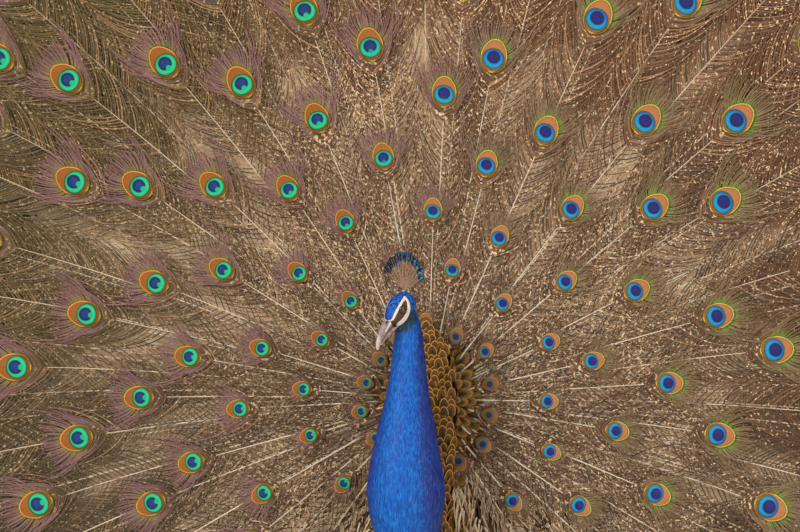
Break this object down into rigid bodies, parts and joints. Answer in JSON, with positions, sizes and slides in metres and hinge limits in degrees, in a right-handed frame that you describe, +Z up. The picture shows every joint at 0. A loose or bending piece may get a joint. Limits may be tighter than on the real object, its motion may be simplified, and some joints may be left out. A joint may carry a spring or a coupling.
{
  "type": "peacock",
  "caption": "Life-size Indian peacock standing in full display, with its eyed train spread in a fan behind a blue neck and turned head.",
  "frame": {"origin": "bottom centre of the whole model's box, on the floor between the feet", "axes": "+Z up, the bird faces -Y, +X is its left side"},
  "size_m": [2.2604, 0.4815, 1.83],
  "materials": {
    "cobalt_plumage": "glossy cobalt blue contour feathers",
    "dark_eye": "wet dark brown eye",
    "grey_horn": "satin pinkish grey horn",
    "crest_plumes": "bare pale shafts with blue-green tips",
    "gold_scale_plumage": "gold-bronze scale feathers with dark edges",
    "bronze_plumage": "loose bronze and olive barbs on white shafts, with eyed tips",
    "chestnut_quills": "stiff chestnut brown vanes",
    "dusky_down": "soft grey-brown down",
    "buff_barred_plumage": "buff feathers with dark wavy bars",
    "dusky_plumage": "soft dark brown thigh feathers",
    "leg_scutes": "grey horny scutes"
  },
  "bodies": {
    "root": {"bill_lower": "grey_horn", "bill_upper": "grey_horn", "claw_hind_left": "grey_horn", "claw_hind_right": "grey_horn", "claw_inner_left": "grey_horn", "claw_inner_right": "grey_horn", "claw_middle_left": "grey_horn", "claw_middle_right": "grey_horn", "claw_outer_left": "grey_horn", "claw_outer_right": "grey_horn", "crest": "crest_plumes", "eye_left": "dark_eye", "eye_right": "dark_eye", "head": "cobalt_plumage", "mantle": "gold_scale_plumage", "neck_lower": "cobalt_plumage", "neck_upper": "cobalt_plumage", "primaries_left": "chestnut_quills", "primaries_right": "chestnut_quills", "spur_left": "grey_horn", "spur_right": "grey_horn", "tail": "chestnut_quills", "tarsus_left": "leg_scutes", "tarsus_right": "leg_scutes", "thigh_left": "dusky_plumage", "thigh_right": "dusky_plumage", "toe_hind_left": "leg_scutes", "toe_hind_right": "leg_scutes", "toe_inner_left": "leg_scutes", "toe_inner_right": "leg_scutes", "toe_middle_left": "leg_scutes", "toe_middle_right": "leg_scutes", "toe_outer_left": "leg_scutes", "toe_outer_right": "leg_scutes", "train_01": "bronze_plumage", "train_02": "bronze_plumage", "train_03": "bronze_plumage", "train_04": "bronze_plumage", "train_05": "bronze_plumage", "train_06": "bronze_plumage", "train_07": "bronze_plumage", "train_08": "bronze_plumage", "train_09": "bronze_plumage", "train_10": "bronze_plumage", "train_11": "bronze_plumage", "train_12": "bronze_plumage", "train_13": "bronze_plumage", "train_14": "bronze_plumage", "train_15": "bronze_plumage", "train_root": "bronze_plumage", "trunk": "cobalt_plumage", "undertail": "dusky_down", "wing_left": "buff_barred_plumage", "wing_right": "buff_barred_plumage"}
  },
  "joints": []
}
